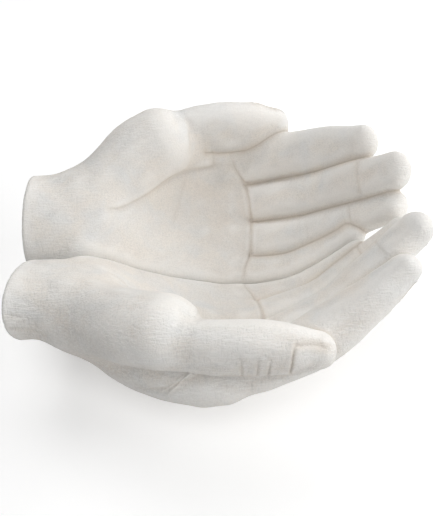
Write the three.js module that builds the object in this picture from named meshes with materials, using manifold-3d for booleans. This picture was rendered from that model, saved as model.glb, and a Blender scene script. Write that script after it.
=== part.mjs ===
// Two cupped hands, cast in plaster-white resin and joined along the little fingers into a bowl.
// Sizes are millimetres. The fingers point along +X, the left hand is on the +Y side and Z is up.
// The left hand is modelled, and the right hand is its mirror image across the seam plane Y = 0.

import * as THREE from 'three';
import { mergeVertices } from 'three/addons/utils/BufferGeometryUtils.js';
import Module from 'manifold-3d';

// Where the castings are trimmed: at the seam, under the base and square across each wrist
const SEAM_GAP = 0.3;
const BASE_HEIGHT = 0;
const WRIST_CUT = {
  left: { reach: 117.5, leanDown: 1, leanOutward: -4 },
  right: { reach: 112, leanDown: 12, leanOutward: 9 },
};

// Two dowels line the castings up across the seam
const DOWEL_DIAMETER = 8;
const DOWEL_REACH = 15;
const DOWEL_CLEARANCE = 0.3;
const DOWEL_SIDES = 24;

// Felt pads sit in shallow recesses in the flat base
const PAD_DIAMETER = 14;
const PAD_THICKNESS = 2.5;
const PAD_RECESS = 1;
const PAD_CLEARANCE = 0.3;
const PAD_SIDES = 24;
const PAD_FRONT = 16;
const PAD_BACK = -27;
const PAD_FROM_SEAM = 16;

// Facet size, longer along the plain wrist than over the fingers
const FACET = { alongWrist: 8, alongFingers: 5.2, across: 5.2, up: 5.2 };

// How softly the forms run into each other
const BLEND = { fingers: 3, knuckles: 5, palm: 8, wrist: 14, thumb: 4, sole: 16 };

// How square a limb's section is: 2 is an oval
const SQUARENESS = { palm: 2, fingers: 2.5 };

// Spacing of the sections that are worked out along a limb
const SECTION_SPACING = 6;

// A limb is a row of oval sections along a smooth path. Its half width, its depth to the palm side,
// its depth to the back and the way its palm side faces are given along the path.
const WRIST = {
  path: [[-132, 32, 59], [-99, 33, 58], [-74, 39, 56]],
  halfWidth: [32.5, 31.5, 31.5], palmDepth: [24, 23, 23], backDepth: [24, 20, 20.5],
  facing: [[0, -0.5, 0.87], [0, -0.45, 0.9]],
};
const PALM = {
  index: {
    path: [[-74, 53, 63], [3, 86, 46]],
    halfWidth: [15, 15], palmDepth: [13, 12.5], backDepth: [16, 11.5],
    facing: [[0, -0.45, 0.9], [0, -0.55, 0.83]],
  },
  middle: {
    path: [[-74, 44, 58], [9, 62, 33]],
    halfWidth: [15, 15], palmDepth: [13, 11.5], backDepth: [16, 16],
    facing: [[0, -0.45, 0.9], [0, -0.5, 0.87]],
  },
  ring: {
    path: [[-74, 33, 54], [9, 39, 24]],
    halfWidth: [15, 14], palmDepth: [13, 11.5], backDepth: [16, 16],
    facing: [[0, -0.4, 0.92], [0, -0.42, 0.9]],
  },
  little: {
    path: [[-74, 23, 51], [7, 16, 16]],
    halfWidth: [15, 14], palmDepth: [13, 11.5], backDepth: [16, 15],
    facing: [[0, -0.3, 0.95], [0, -0.2, 0.98]],
  },
  thumbBall: {
    path: [[-80, 51, 66], [-58, 62, 73.5], [-37, 76, 84], [-25, 81, 87.5]],
    halfWidth: [17.5, 23, 26, 20.5], palmDepth: [18.5, 20.5, 20.5, 17.5], backDepth: [18.5, 20.5, 20.5, 16.5],
    facing: [[0, -0.7, 0.7], [0, -0.6, 0.8]],
  },
  handEdge: {
    path: [[-79, 14, 48], [-40, 12, 28], [-9, 11, 18]],
    halfWidth: [17.5, 16, 14], palmDepth: [17.5, 16, 12.5], backDepth: [17.5, 16, 14],
    facing: [[0, -0.3, 0.95], [0, -0.2, 0.98]],
  },
  indexFlank: {
    path: [[-76, 52, 54], [-55, 66, 47], [-30, 80, 47.5], [-10, 86.5, 46]],
    halfWidth: [11, 16, 16.5, 15], palmDepth: [11, 16, 16.5, 15], backDepth: [11, 16, 16.5, 15],
    facing: [[0, -0.7, 0.7], [0, -0.7, 0.7]],
  },
  thumbWeb: {
    path: [[-31, 76, 77], [-4, 84.5, 71.5], [14, 87.5, 69.5], [34, 87.5, 74], [50, 85, 79]],
    halfWidth: [14, 13.5, 11, 8, 5], palmDepth: [9.5, 7.5, 6.5, 6, 5], backDepth: [10.5, 10, 9, 7, 5],
    facing: [[0, -0.6, 0.8], [0, -0.6, 0.8]],
  },
  fingerRoots: {
    path: [[19, 80, 55], [20, 58, 39], [20, 35, 28], [17, 12, 19]],
    halfWidth: [8, 8], palmDepth: [7.5, 7.5], backDepth: [7.5, 7.5],
    facing: [[0, -0.5, 0.87], [0, -0.3, 0.95]],
  },
};
const SOLE = {
  path: [[-62, 24, 40], [-32, 21, 25], [-3, 19, 19], [14, 17, 18]],
  halfWidth: [20, 27, 28, 21], palmDepth: [8, 8, 8, 8], backDepth: [22, 26, 24, 19],
  facing: [[0, -0.1, 1], [0, -0.1, 1]],
};
const FINGERS = {
  index: {
    path: [[3, 86, 46], [24, 82.5, 54], [44, 77.5, 65.5], [65, 70, 77], [86, 61.5, 88], [102, 54, 97]],
    halfWidth: [14, 15, 15.5, 15.5, 14.5, 12], palmDepth: [12.5, 11.5, 9],
    backDepth: [11.5, 15, 18.5, 14, 8.5],
    facing: [[-0.2, -0.55, 0.8], [-0.4, -0.6, 0.65]],
  },
  middle: {
    path: [[9, 62, 33], [31, 58, 40], [50, 53.5, 48], [70, 48, 58.5], [94, 36, 79], [116, 25, 98]],
    halfWidth: [14, 14, 14, 14.5, 14, 12.5], palmDepth: [12.5, 11.5, 9], backDepth: [16, 13.5, 9],
    facing: [[-0.1, -0.5, 0.85], [-0.6, -0.3, 0.65]],
  },
  ring: {
    path: [[9, 39, 24], [30, 34, 27], [48, 31, 32], [67, 28, 40], [91, 20, 60], [115, 12, 80.5]],
    halfWidth: [14, 13.5, 13.5, 13, 12.5, 11], palmDepth: [12.5, 11.5, 9], backDepth: [16, 13.5, 9],
    facing: [[-0.1, -0.4, 0.9], [-0.65, -0.2, 0.65]],
  },
  little: {
    path: [[7, 16, 16], [26, 12, 17], [42, 11, 20], [58, 10, 26], [77, 9, 42], [92, 8, 59]],
    halfWidth: [13, 13, 12.5, 12, 11, 9], palmDepth: [12.5, 10.5, 8.5], backDepth: [14, 12.5, 8.5],
    facing: [[-0.1, -0.2, 0.97], [-0.7, -0.1, 0.7]],
  },
};
const THUMB = {
  path: [[-30, 80, 84], [-7, 88, 85], [16, 90.5, 85.5], [35, 92.5, 84.5], [48.5, 93.5, 83]],
  halfWidth: [14, 17, 17.5, 16, 12], palmDepth: [11, 12, 13, 12.5, 10.5],
  backDepth: [15, 13, 13, 12, 9.5], facing: [[0, -0.98, 0.1], [0, -0.98, 0.2]],
};

// Surfaces and their colours
const PLASTER = new THREE.MeshStandardMaterial({ color: 0xe8e3d9, roughness: 0.9, metalness: 0 });
const BEECH = new THREE.MeshStandardMaterial({ color: 0xc9a67a, roughness: 0.7, metalness: 0 });
const FELT = new THREE.MeshStandardMaterial({ color: 0xcfc8bb, roughness: 1, metalness: 0 });

const wasm = await Module();
wasm.setup();

// Distances past this one don't matter, and a divisor is kept above the tiny one
const FAR = 40;
const TINY = 1e-6;

// Value at a share of the way along an evenly spaced list, on a smooth curve through it
function along(values, share) {
  const spots = values.map((value, index) => new THREE.Vector2(index, value));
  return new THREE.SplineCurve(spots).getPoint(share).y;
}

// Two forms run into each other where their distances differ by less than this many times the
// softness. Where they are equal, the skin rises by the given share of the softness.
const BLEND_REACH = 1.5;
const BLEND_RISE = 0.25;

// Smaller of two distances, rounded off where they are nearly equal
function softMin(a, b, softness) {
  const share = Math.max(1 - Math.abs(a - b) / (BLEND_REACH * softness), 0);
  return Math.min(a, b) - share ** 3 * softness * BLEND_RISE;
}

// Cuts a limb into short stretches with a section at each end
function stretchesOf({ path, halfWidth, palmDepth, backDepth, facing }, squareness) {
  const curve = new THREE.CatmullRomCurve3(path.map((point) => new THREE.Vector3(...point)));
  const count = Math.ceil(curve.getLength() / SECTION_SPACING);
  const points = Array.from({ length: count + 1 }, (_, index) => curve.getPoint(index / count));
  const sections = points.map((point, index) => {
    const [before, after] = [points[Math.max(index - 1, 0)], points[Math.min(index + 1, count)]];
    const axis = after.clone().sub(before).normalize();
    const palmward = new THREE.Vector3(...facing[0]);
    palmward.lerp(new THREE.Vector3(...facing[1]), index / count);
    palmward.addScaledVector(axis, -palmward.dot(axis)).normalize();
    return {
      point,
      axis,
      palmward,
      sideways: axis.clone().cross(palmward),
      halfWidth: along(halfWidth, index / count),
      palmDepth: along(palmDepth, index / count),
      backDepth: along(backDepth, index / count),
    };
  });
  return sections.slice(1).map((end, index) => {
    const start = sections[index];
    const reach = Math.max(...[start, end].flatMap((s) => [s.halfWidth, s.palmDepth, s.backDepth]));
    const step = end.point.clone().sub(start.point);
    return { start, end, step, reach, first: index === 0, last: index === count - 1, squareness };
  });
}

// Distance to a section's outline, from shares of its half width, its depth and its end's length
function sectionDistance([across, up, over], [halfWidth, depth, capLength], squareness) {
  const oval = Math.max(across ** squareness + up ** squareness, TINY) ** (1 / squareness);
  const steepness = Math.hypot(across ** (squareness - 1) / halfWidth, up ** (squareness - 1) / depth);
  const slope = Math.hypot(oval ** (2 - squareness) * steepness, over / capLength);
  const ratio = Math.hypot(oval, over);
  return (ratio * (ratio - 1)) / Math.max(slope, TINY);
}

// Distance from a point to a stretch's surface, less than zero inside
const fromStart = new THREE.Vector3();
const toEnd = new THREE.Vector3();
function stretchDistance({ start, end, step, first, last, squareness }, point) {
  fromStart.copy(point).sub(start.point);
  toEnd.copy(end.point).sub(point);
  const after = start.axis.dot(fromStart);
  const before = end.axis.dot(toEnd);
  if ((after < 0 && !first) || (before < 0 && !last)) return FAR;
  const share = THREE.MathUtils.clamp(after / Math.max(after + before, TINY), 0, 1);
  const past = Math.max(-after, -before, 0);
  const offset = fromStart.addScaledVector(step, -share);
  const mixed = (key) => THREE.MathUtils.lerp(start[key], end[key], share);
  const turned = (key) => THREE.MathUtils.lerp(start[key].dot(offset), end[key].dot(offset), share);
  const rise = turned('palmward');
  const halfWidth = mixed('halfWidth');
  const depth = mixed(rise > 0 ? 'palmDepth' : 'backDepth');
  const capLength = (halfWidth + mixed('palmDepth')) / 2;
  const shares = [Math.abs(turned('sideways')) / halfWidth, Math.abs(rise) / depth, past / capLength];
  return sectionDistance(shares, [halfWidth, depth, capLength], squareness);
}

// Distance to a whole limb; stretches too far away to matter are left out
function limbDistance(stretches, point) {
  let distance = FAR;
  for (const stretch of stretches) {
    if (stretch.start.point.distanceTo(point) > SECTION_SPACING + stretch.reach + FAR) continue;
    distance = Math.min(distance, stretchDistance(stretch, point));
  }
  return distance;
}

// Distance to the left hand: the forms of the palm, then the fingers and the thumb
const wristLimb = stretchesOf(WRIST, SQUARENESS.palm);
const soleLimb = stretchesOf(SOLE, SQUARENESS.palm);
const palmLimbs = Object.values(PALM).map((form) => stretchesOf(form, SQUARENESS.palm));
const fingerLimbs = Object.values(FINGERS).map((form) => stretchesOf(form, SQUARENESS.fingers));
const thumbLimb = stretchesOf(THUMB, SQUARENESS.fingers);
function handDistance(point) {
  let palm = FAR;
  for (const limb of palmLimbs) palm = softMin(palm, limbDistance(limb, point), BLEND.palm);
  palm = softMin(palm, limbDistance(wristLimb, point), BLEND.wrist);
  palm = softMin(palm, limbDistance(soleLimb, point), BLEND.sole);
  let fingers = FAR;
  for (const limb of fingerLimbs) {
    fingers = softMin(fingers, limbDistance(limb, point), BLEND.fingers);
  }
  const hand = softMin(palm, fingers, BLEND.knuckles);
  return softMin(hand, limbDistance(thumbLimb, point), BLEND.thumb);
}

// Grid lines from low to high, with a spacing that runs evenly from the first to the last
function gridLines(low, high, firstStep, lastStep) {
  const lines = [low];
  while (lines.at(-1) < high) {
    const share = (lines.at(-1) - low) / (high - low);
    lines.push(lines.at(-1) + THREE.MathUtils.lerp(firstStep, lastStep, share));
  }
  return lines;
}

// Space that the limbs take up, with room for a facet all round
function limbBounds(limbs, margin) {
  const bounds = new THREE.Box3();
  for (const stretches of limbs) {
    for (const { start, end, reach } of stretches) {
      bounds.expandByPoint(start.point.clone().addScalar(-reach - margin));
      bounds.expandByPoint(start.point.clone().addScalar(reach + margin));
      bounds.expandByPoint(end.point.clone().addScalar(-reach - margin));
      bounds.expandByPoint(end.point.clone().addScalar(reach + margin));
    }
  }
  return bounds;
}

// Closed surface where the distance is zero: one vertex in each grid cell that the surface crosses
function surfaceOf(distance, lines) {
  const [nx, ny, nz] = lines.map((axis) => axis.length);
  const nodeAt = (i, j, k) => (i * ny + j) * nz + k;
  const strides = [ny * nz, nz, 1];
  const point = new THREE.Vector3();
  const values = new Float64Array(nx * ny * nz);
  for (let i = 0; i < nx; i++) {
    for (let j = 0; j < ny; j++) {
      for (let k = 0; k < nz; k++) {
        values[nodeAt(i, j, k)] = distance(point.set(lines[0][i], lines[1][j], lines[2][k]));
      }
    }
  }
  closePits(values, strides);
  fillAmbiguous(values, strides);
  const corners = Array.from({ length: 8 }, (_, bits) => [bits & 1, (bits >> 1) & 1, (bits >> 2) & 1]);
  const cornerStep = corners.map(([a, b, c]) => a * strides[0] + b * strides[1] + c * strides[2]);
  const vertexIn = new Map();
  const positions = [];
  for (let i = 0; i < nx - 1; i++) {
    for (let j = 0; j < ny - 1; j++) {
      for (let k = 0; k < nz - 1; k++) {
        const node = nodeAt(i, j, k);
        const crossings = crossingsOf(cornerStep.map((step) => values[node + step]), corners);
        if (!crossings) continue;
        const low = new THREE.Vector3(lines[0][i], lines[1][j], lines[2][k]);
        const high = new THREE.Vector3(lines[0][i + 1], lines[1][j + 1], lines[2][k + 1]);
        const vertex = high.clone().sub(low).multiply(crossings).add(low);
        vertexIn.set(node, positions.length / 3);
        positions.push(vertex.x, vertex.y, vertex.z);
      }
    }
  }
  const triangles = [];
  for (const axis of strides.keys()) {
    const [next, u, v] = [0, 1, 2].map((turn) => strides[(axis + turn) % 3]);
    for (let node = u + v; node < values.length - next; node++) {
      if ((values[node] < 0) === (values[node + next] < 0)) continue;
      const ring = [node - u - v, node - v, node, node - u].map((cell) => vertexIn.get(cell));
      if (values[node] > 0) ring.reverse();
      triangles.push(...splitAlongShorter(ring, positions));
    }
  }
  relax(positions, triangles, distance);
  const geometry = new THREE.BufferGeometry();
  geometry.setAttribute('position', new THREE.Float32BufferAttribute(positions, 3));
  geometry.setIndex(triangles);
  return geometry;
}

// Grid nodes filled by the two functions below count as just inside
const FILLED = -1e-3;

// Fills grid nodes that are walled in on most sides: pits in a crease too narrow for the facets
function closePits(values, strides) {
  const mostSides = 4;
  const rounds = 2;
  const margin = Math.max(...strides);
  for (let round = 0; round < rounds; round++) {
    for (let node = margin; node < values.length - margin; node++) {
      if (values[node] < 0 || values[node] > FACET.across / 2) continue;
      const sides = strides.flatMap((stride) => [values[node - stride], values[node + stride]]);
      if (sides.filter((value) => value < 0).length >= mostSides) values[node] = FILLED;
    }
  }
}

// Fills grid nodes that meet the inside only across a diagonal, so that the surface never pinches
function fillAmbiguous(values, strides) {
  const solid = (node) => values[node] < 0;
  let changed = true;
  while (changed) {
    changed = false;
    for (let axis = 0; axis < 3; axis++) {
      const u = strides[axis];
      const v = strides[(axis + 1) % 3];
      for (let node = 0; node + u + v < values.length; node++) {
        const square = [node, node + u, node + u + v, node + v];
        const [a, b, c, d] = square.map(solid);
        if (a === c && b === d && a !== b) {
          for (const corner of square) values[corner] = Math.min(values[corner], FILLED);
          changed = true;
        }
      }
    }
    for (let node = 0; node + strides[0] + strides[1] + strides[2] < values.length; node++) {
      const cube = [];
      for (const a of [0, strides[0]]) {
        for (const b of [0, strides[1]]) {
          for (const c of [0, strides[2]]) cube.push(node + a + b + c);
        }
      }
      const inside = cube.filter(solid);
      const apart = [0, 1, 2, 3].some((index) => solid(cube[index]) === solid(cube[7 - index])
        && cube.filter((corner) => solid(corner) === solid(cube[index])).length === 2);
      if (apart && (inside.length === 2 || inside.length === 6)) {
        for (const corner of cube) values[corner] = Math.min(values[corner], FILLED);
        changed = true;
      }
    }
  }
}

// Mean place, as shares of the cell, where the surface crosses the cell's twelve edges
function crossingsOf(values, corners) {
  const sum = new THREE.Vector3();
  let count = 0;
  for (let first = 0; first < 8; first++) {
    for (const bit of [1, 2, 4]) {
      const second = first | bit;
      if (second === first || (values[first] < 0) === (values[second] < 0)) continue;
      const share = values[first] / (values[first] - values[second]);
      const start = new THREE.Vector3(...corners[first]);
      sum.add(start.lerp(new THREE.Vector3(...corners[second]), share));
      count++;
    }
  }
  return count ? sum.divideScalar(count) : null;
}

// Evens out the facets: each vertex moves towards the mean of its neighbours, then to the true surface
function relax(positions, triangles, distance) {
  const rounds = 4;
  const pull = 0.6;
  const neighbours = Array.from({ length: positions.length / 3 }, () => new Set());
  for (let corner = 0; corner < triangles.length; corner += 3) {
    const [a, b, c] = triangles.slice(corner, corner + 3);
    neighbours[a].add(b).add(c);
    neighbours[b].add(c).add(a);
    neighbours[c].add(a).add(b);
  }
  const vertex = new THREE.Vector3();
  const mean = new THREE.Vector3();
  for (let round = 0; round < rounds; round++) {
    const before = positions.slice();
    neighbours.forEach((ring, index) => {
      mean.set(0, 0, 0);
      for (const other of ring) mean.add(vertex.fromArray(before, other * 3));
      vertex.fromArray(before, index * 3).lerp(mean.divideScalar(ring.size), pull);
      settle(vertex, distance).toArray(positions, index * 3);
    });
  }
}

// Moves a vertex to the true surface, by a short step so that it stays near its neighbours
const AXES = [new THREE.Vector3(1, 0, 0), new THREE.Vector3(0, 1, 0), new THREE.Vector3(0, 0, 1)];
function settle(vertex, distance) {
  const probe = 0.3;
  const longestStep = 1;
  const sample = new THREE.Vector3();
  const slope = AXES.map((axis) => distance(sample.copy(vertex).addScaledVector(axis, probe))
    - distance(sample.copy(vertex).addScaledVector(axis, -probe)));
  const gradient = new THREE.Vector3(...slope).divideScalar(2 * probe);
  const steepness = Math.max(gradient.lengthSq(), 0.2);
  const step = gradient.multiplyScalar(-distance(vertex) / steepness).clampLength(0, longestStep);
  return vertex.add(step);
}

// Two triangles for a ring of four vertices, split across its shorter diagonal
function splitAlongShorter([a, b, c, d], positions) {
  const at = (index) => new THREE.Vector3().fromArray(positions, index * 3);
  return at(a).distanceTo(at(c)) <= at(b).distanceTo(at(d)) ? [a, b, c, a, c, d] : [a, b, d, b, c, d];
}

// Closed three.js geometry to a solid, and back
function toSolid(geometry) {
  const bare = geometry.clone();
  bare.deleteAttribute('normal');
  bare.deleteAttribute('uv');
  const merged = mergeVertices(bare);
  return new wasm.Manifold(new wasm.Mesh({
    numProp: 3,
    vertProperties: Float32Array.from(merged.attributes.position.array),
    triVerts: Uint32Array.from(merged.index.array),
  }));
}
function toGeometry(solid) {
  const { vertProperties, triVerts } = solid.getMesh();
  const geometry = new THREE.BufferGeometry();
  geometry.setAttribute('position', new THREE.BufferAttribute(vertProperties, 3));
  geometry.setIndex(new THREE.BufferAttribute(triVerts, 1));
  geometry.computeVertexNormals();
  return geometry;
}

// Mirror image across the seam plane, with the triangles turned to face out again
function mirrored(geometry) {
  const copy = geometry.clone().scale(1, -1, 1);
  const index = copy.index.array;
  for (let corner = 0; corner < index.length; corner += 3) {
    [index[corner + 1], index[corner + 2]] = [index[corner + 2], index[corner + 1]];
  }
  copy.computeVertexNormals();
  return copy;
}

// Blocks that trim a raw casting
const TRIM = 400;
function seamTrim() {
  return toSolid(new THREE.BoxGeometry(TRIM, TRIM, TRIM).translate(0, (SEAM_GAP - TRIM) / 2, 0));
}
function baseTrim() {
  return toSolid(new THREE.BoxGeometry(TRIM, TRIM, TRIM).translate(0, 0, BASE_HEIGHT - TRIM / 2));
}
function wristTrim({ reach, leanDown, leanOutward }) {
  const [, offset, height] = WRIST.path[0];
  const block = new THREE.BoxGeometry(TRIM, TRIM, TRIM).translate(-TRIM / 2, 0, 0);
  block.rotateY(THREE.MathUtils.degToRad(-leanDown));
  block.rotateZ(THREE.MathUtils.degToRad(leanOutward));
  return toSolid(block.translate(-reach, offset, height));
}

// Dowel places: in the thick of the hand's edge, near the wrist and near the knuckles
const dowelPlaces = [PALM.handEdge.path[0], PALM.handEdge.path[2]].map(([x, , z]) => [x, 0, z]);
function dowelGeometry(clearance) {
  const radius = DOWEL_DIAMETER / 2 + clearance;
  return new THREE.CylinderGeometry(radius, radius, 2 * (DOWEL_REACH + clearance), DOWEL_SIDES);
}

// Pad places, two under each hand, and the height of the ceiling of their recesses
const padPlaces = [PAD_FRONT, PAD_BACK].map((x) => [x, PAD_FROM_SEAM, BASE_HEIGHT + PAD_RECESS]);
function padGeometry(radius, height) {
  return new THREE.CylinderGeometry(radius, radius, height, PAD_SIDES).rotateX(Math.PI / 2);
}

// One casting on the left, trimmed, with its dowel holes and pad recesses
const limbs = [...palmLimbs, ...fingerLimbs, thumbLimb, wristLimb, soleLimb];
const bounds = limbBounds(limbs, FACET.alongWrist);
const rawHand = toSolid(surfaceOf(handDistance, [
  gridLines(bounds.min.x, bounds.max.x, FACET.alongWrist, FACET.alongFingers),
  gridLines(bounds.min.y, bounds.max.y, FACET.across, FACET.across),
  gridLines(bounds.min.z, bounds.max.z, FACET.up, FACET.up),
]));
function casting(wristCut) {
  let solid = rawHand.subtract(seamTrim()).subtract(baseTrim()).subtract(wristTrim(wristCut));
  for (const place of dowelPlaces) {
    solid = solid.subtract(toSolid(dowelGeometry(DOWEL_CLEARANCE).translate(...place)));
  }
  for (const [x, y, z] of padPlaces) {
    const recess = padGeometry(PAD_DIAMETER / 2 + PAD_CLEARANCE, 2 * PAD_RECESS);
    solid = solid.subtract(toSolid(recess.translate(x, y, z - PAD_RECESS)));
  }
  return toGeometry(solid);
}

// The assembly
function named(name, geometry, material) {
  const mesh = new THREE.Mesh(geometry, material);
  mesh.name = name;
  return mesh;
}
const sculpture = new THREE.Group();
sculpture.add(named('left_hand', casting(WRIST_CUT.left), PLASTER));
sculpture.add(named('right_hand', mirrored(casting(WRIST_CUT.right)), PLASTER));
dowelPlaces.forEach((place, index) => {
  const dowel = named(`${['wrist', 'knuckle'][index]}_dowel`, dowelGeometry(0), BEECH);
  dowel.position.set(...place);
  sculpture.add(dowel);
});
for (const [hand, side] of [['left', 1], ['right', -1]]) {
  padPlaces.forEach(([x, y, z], index) => {
    const shape = padGeometry(PAD_DIAMETER / 2, PAD_THICKNESS);
    const pad = named(`${hand}_${['front', 'back'][index]}_pad`, shape, FELT);
    pad.position.set(x, side * y, z - PAD_CLEARANCE - PAD_THICKNESS / 2);
    sculpture.add(pad);
  });
}

// The origin is on the floor under the middle of the whole
const extent = new THREE.Box3().setFromObject(sculpture);
const middle = extent.getCenter(new THREE.Vector3());
sculpture.position.set(-middle.x, -middle.y, -extent.min.z);

export default sculpture;
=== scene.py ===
# Two cupped hands, cast in plaster-white resin and joined along the little fingers into a bowl.
# Lengths are millimetres, as the hands were modelled, and MM turns them into the scene's metres.

import math

import bpy
import numpy as np
from mathutils import Matrix, Vector


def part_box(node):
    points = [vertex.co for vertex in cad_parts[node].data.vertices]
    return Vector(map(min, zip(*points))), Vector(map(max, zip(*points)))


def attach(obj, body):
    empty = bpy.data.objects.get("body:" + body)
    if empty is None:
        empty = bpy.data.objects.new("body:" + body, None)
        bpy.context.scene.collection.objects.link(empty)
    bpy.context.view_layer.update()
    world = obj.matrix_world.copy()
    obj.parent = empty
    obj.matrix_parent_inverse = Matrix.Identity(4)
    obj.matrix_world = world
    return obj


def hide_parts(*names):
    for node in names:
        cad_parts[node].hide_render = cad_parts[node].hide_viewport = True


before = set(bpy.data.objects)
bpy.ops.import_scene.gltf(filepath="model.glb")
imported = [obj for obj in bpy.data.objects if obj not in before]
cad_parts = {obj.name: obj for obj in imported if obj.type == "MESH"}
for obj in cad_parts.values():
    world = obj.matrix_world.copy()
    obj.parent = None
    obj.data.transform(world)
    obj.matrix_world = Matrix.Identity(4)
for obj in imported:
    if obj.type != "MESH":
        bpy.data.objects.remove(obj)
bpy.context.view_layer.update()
scene = bpy.context.scene
scene.view_settings.view_transform = "Standard"
MM = 0.001

# The sculptor's origin lies on the seam, and a dowel near the wrists shows where the frame has it
WRIST_DOWEL_PLACE = np.array([-79.0, 0.0, 48.0])
dowel_low, dowel_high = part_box("wrist_dowel")
ORIGIN = (np.array(dowel_low) + np.array(dowel_high)) / 2 / MM - WRIST_DOWEL_PLACE


# Camera
# The sculpture stands on a table and is seen from above and in front, a little from the left.
CAMERA_PLACE = np.array([-13.7, -272.1, 371.8])
CAMERA_AZIMUTH = math.radians(3.508)
CAMERA_LOOKS_DOWN = math.radians(49.609)
SENSOR_WIDTH = 36.0
FOCAL_LENGTH = 45.35
NEAREST_SEEN = 10

camera = bpy.data.objects.new("camera", bpy.data.cameras.new("camera"))
camera.data.sensor_width = SENSOR_WIDTH
camera.data.lens = FOCAL_LENGTH
camera.data.clip_start = NEAREST_SEEN * MM
view_axis = Vector((math.sin(CAMERA_AZIMUTH) * math.cos(CAMERA_LOOKS_DOWN),
                    math.cos(CAMERA_AZIMUTH) * math.cos(CAMERA_LOOKS_DOWN),
                    -math.sin(CAMERA_LOOKS_DOWN)))
right_axis = Vector((math.cos(CAMERA_AZIMUTH), -math.sin(CAMERA_AZIMUTH), 0.0))
up_axis = right_axis.cross(view_axis)
turn = Matrix((right_axis, up_axis, -view_axis)).transposed()
camera.matrix_world = Matrix.Translation(Vector((CAMERA_PLACE + ORIGIN) * MM)) @ turn.to_4x4()
scene.collection.objects.link(camera)
scene.camera = camera


# Floor and light
# A white table top among soft lamps: two high on the left, and three low on the right.
# A lamp has the direction it stands in, its height above the table in degrees, and its watts.
FLOOR_HALF = 1.5
FLOOR_GLOW = 0.28
LAMPS = {"high front lamp": (240, 64, 3.7), "high back lamp": (112, 62, 3.75), "right lamp": (0, 25, 5.3),
         "front right lamp": (315, 25, 3.0), "back right lamp": (60, 25, 3.6)}
LAMP_DISTANCE = 1.1
LAMP_SIZE = 0.6
ROOM_STRENGTH = 0.05
WHITE = (1, 1, 1, 1)
TABLE_WHITE = (0.9, 0.9, 0.9, 1)
TABLE_ROUGHNESS = 0.9

floor_mesh = bpy.data.meshes.new("floor")
floor_corners = [(-FLOOR_HALF, -FLOOR_HALF, 0), (FLOOR_HALF, -FLOOR_HALF, 0),
                 (FLOOR_HALF, FLOOR_HALF, 0), (-FLOOR_HALF, FLOOR_HALF, 0)]
floor_mesh.from_pydata(floor_corners, [], [(0, 1, 2, 3)])
floor = bpy.data.objects.new("floor", floor_mesh)
scene.collection.objects.link(floor)


def new_finish(name, roughness):
    """A material, with its node tree and its shader."""
    material = bpy.data.materials.new(name)
    material.use_nodes = True
    shader = material.node_tree.nodes["Principled BSDF"]
    shader.inputs["Roughness"].default_value = roughness
    return material, material.node_tree, shader


table_top, table_tree, table_shader = new_finish("white table top", TABLE_ROUGHNESS)
table_shader.inputs["Base Color"].default_value = TABLE_WHITE
table_shader.inputs["Emission Color"].default_value = WHITE
# Only the camera, and what shines or lets light through, sees the glow
rays = table_tree.nodes.new("ShaderNodeLightPath")
seen = rays.outputs["Is Camera Ray"]
for ray in ("Is Glossy Ray", "Is Transmission Ray"):
    either = table_tree.nodes.new("ShaderNodeMath")
    either.operation = "MAXIMUM"
    table_tree.links.new(seen, either.inputs[0])
    table_tree.links.new(rays.outputs[ray], either.inputs[1])
    seen = either.outputs[0]
glow = table_tree.nodes.new("ShaderNodeMath")
glow.operation = "MULTIPLY"
glow.inputs[1].default_value = FLOOR_GLOW
table_tree.links.new(seen, glow.inputs[0])
table_tree.links.new(glow.outputs[0], table_shader.inputs["Emission Strength"])
floor_mesh.materials.append(table_top)

world = bpy.data.worlds.new("white room")
scene.world = world
world.use_nodes = True
room_light = world.node_tree.nodes["Background"]
room_light.inputs["Color"].default_value = WHITE
room_light.inputs["Strength"].default_value = ROOM_STRENGTH

for name, (direction, height, watts) in LAMPS.items():
    direction, height = math.radians(direction), math.radians(height)
    towards = Vector((math.cos(direction) * math.cos(height), math.sin(direction) * math.cos(height),
                      math.sin(height)))
    lamp = bpy.data.objects.new(name, bpy.data.lights.new(name, "AREA"))
    lamp.data.energy = watts
    lamp.data.size = LAMP_SIZE
    lamp.location = towards * LAMP_DISTANCE
    lamp.rotation_euler = (-towards).to_track_quat("-Z", "Y").to_euler()
    scene.collection.objects.link(lamp)


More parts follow.
